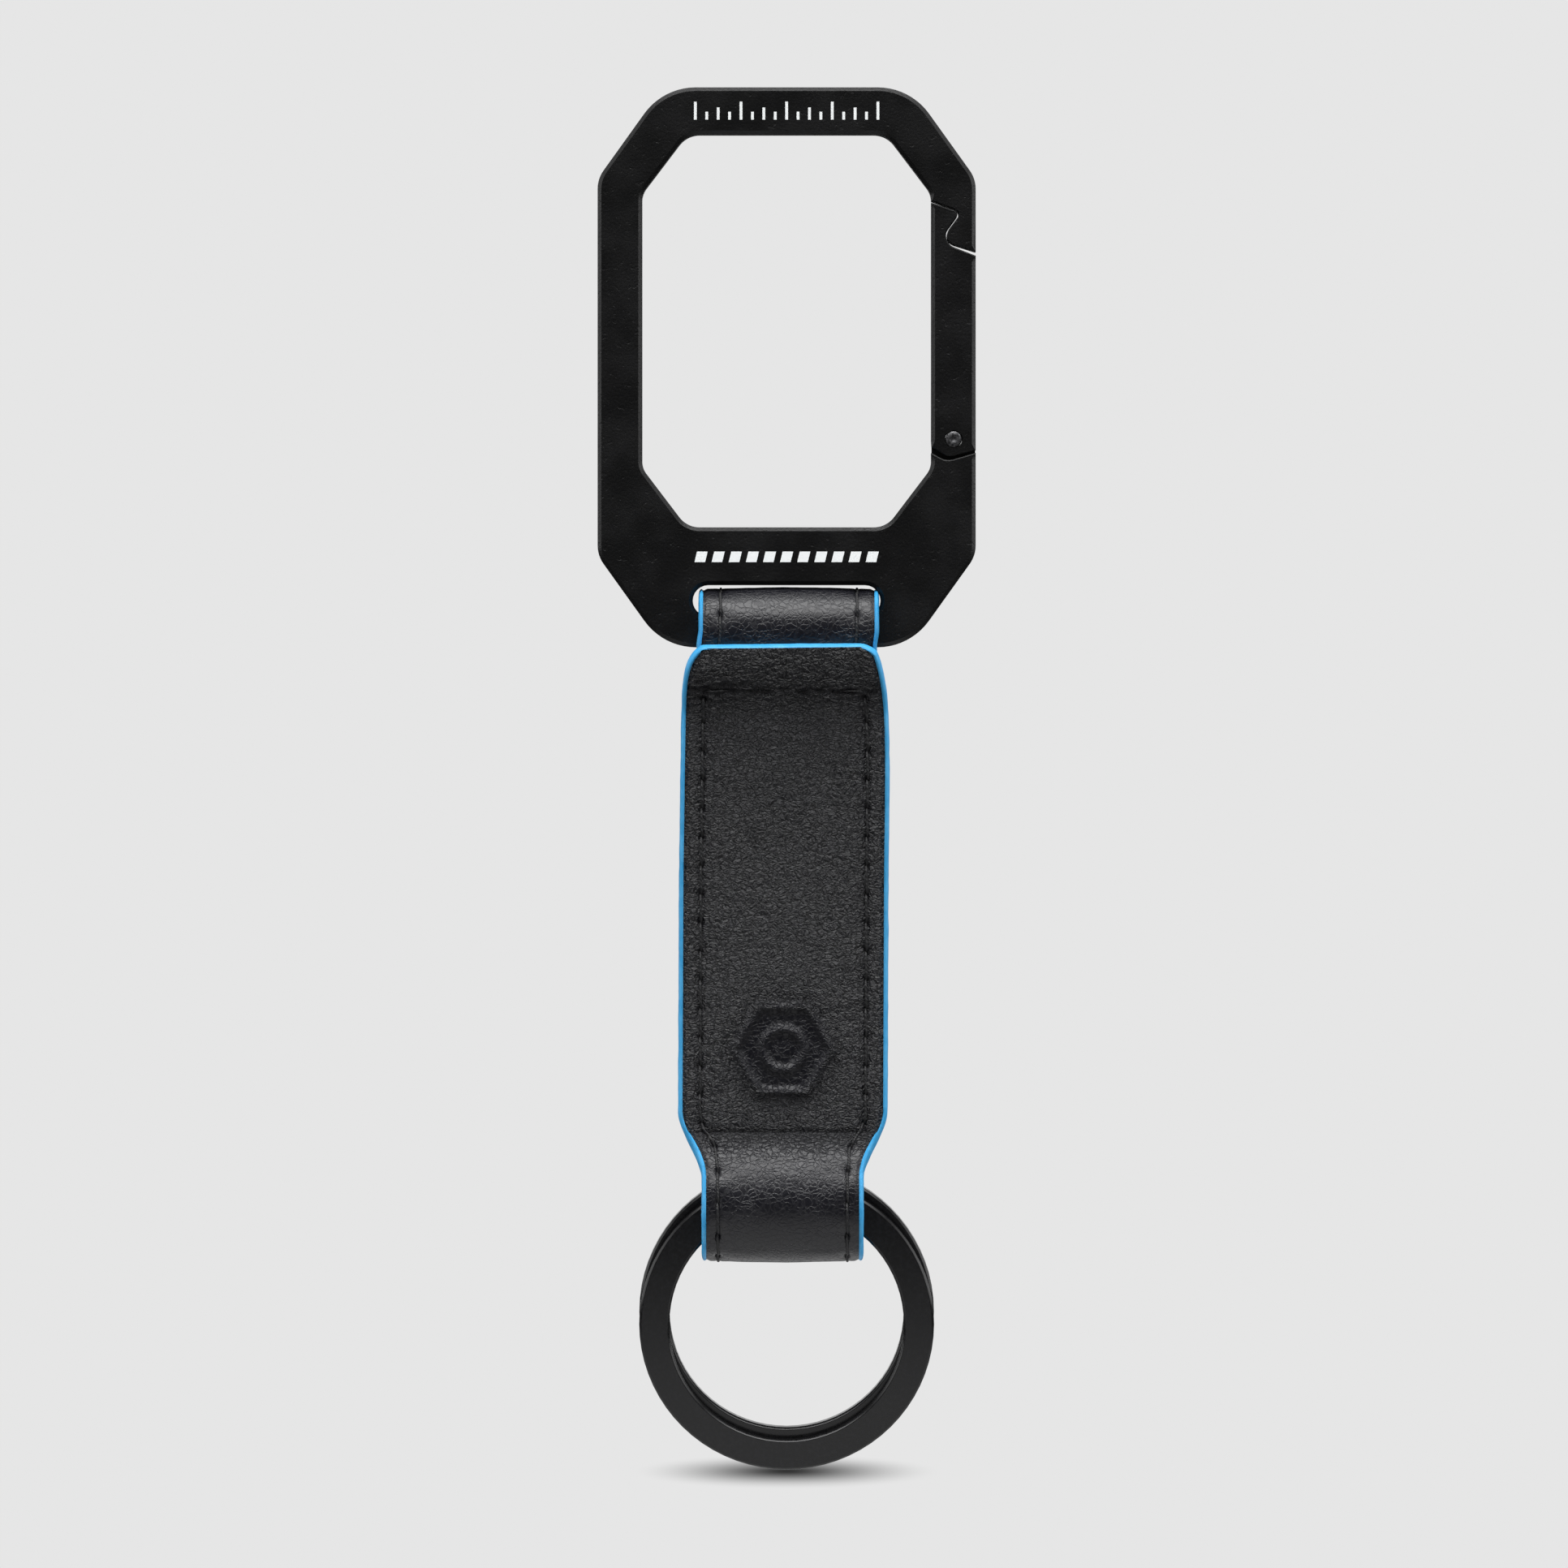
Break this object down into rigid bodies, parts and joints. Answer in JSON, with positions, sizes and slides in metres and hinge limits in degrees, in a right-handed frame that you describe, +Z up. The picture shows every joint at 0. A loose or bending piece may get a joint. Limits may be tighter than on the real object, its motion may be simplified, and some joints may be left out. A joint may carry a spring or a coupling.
{
  "type": "key organiser",
  "caption": "Key organiser: octagonal carabiner plate with a sprung gate, doubled leather strap with painted edges, and a flat split ring.",
  "frame": {"origin": "centre of the flat underside of the carabiner's top bar, on the plate's mid-plane", "axes": "+Z up, from the split ring towards the carabiner; -Y out of the plate's front face; +X to the right seen from the front, towards the gate"},
  "size_m": [0.0358, 0.0112, 0.131],
  "materials": {
    "anodised_aluminium": "black anodised, fine satin bead blast",
    "pin_steel": "plain steel",
    "black_leather": "black, fine natural grain, semi-matt",
    "lining_leather": "black, smooth, matt",
    "core_tape": "woven reinforcing tape",
    "blue_edge_paint": "bright blue edge paint, domed, satin",
    "black_thread": "black sewing thread",
    "black_ring_steel": "glossy black coated steel",
    "white_print": "white pad-printed marks"
  },
  "bodies": {
    "carabiner": {"carabiner_frame": "anodised_aluminium", "gate_pivot_pin": "pin_steel"},
    "gate": {"gate": "anodised_aluminium", "gate_spring": "pin_steel"},
    "plunger": {"gate_plunger": "pin_steel"},
    "strap": {"strap_outer_leather": "black_leather", "strap_core": "core_tape", "strap_lining": "lining_leather", "edge_paint": "blue_edge_paint", "seam_thread_left": "black_thread", "seam_thread_right": "black_thread", "cross_seam_thread": "black_thread"},
    "ring": {"split_ring": "black_ring_steel"}
  },
  "joints": [
    {"name": "gate_pivot", "type": "hinge", "parent": "carabiner", "child": "gate", "pos_m": [0.01582, 0, -0.02885], "axis": [0, -1, 0], "range_deg": [0, 25], "stiffness_Nm_per_rad": 0.0008},
    {"name": "plunger_slide", "type": "slide", "parent": "gate", "child": "plunger", "axis": [0, 0, 1], "range_m": [0, 0.00065], "deforming": ["gate_spring"]},
    {"name": "strap_swing", "type": "hinge", "parent": "carabiner", "child": "strap", "pos_m": [0, 0, -0.04706], "axis": [1, 0, 0], "range_deg": [-80, 90]},
    {"name": "ring_swing", "type": "hinge", "parent": "strap", "child": "ring", "pos_m": [0, -0.0009, -0.1012], "axis": [1, 0, 0], "range_deg": [-80, 83]}
  ],
  "couplings": [
    {"joint": "plunger_slide", "follows": "gate_pivot", "m_per_rad": 0.00142}
  ]
}
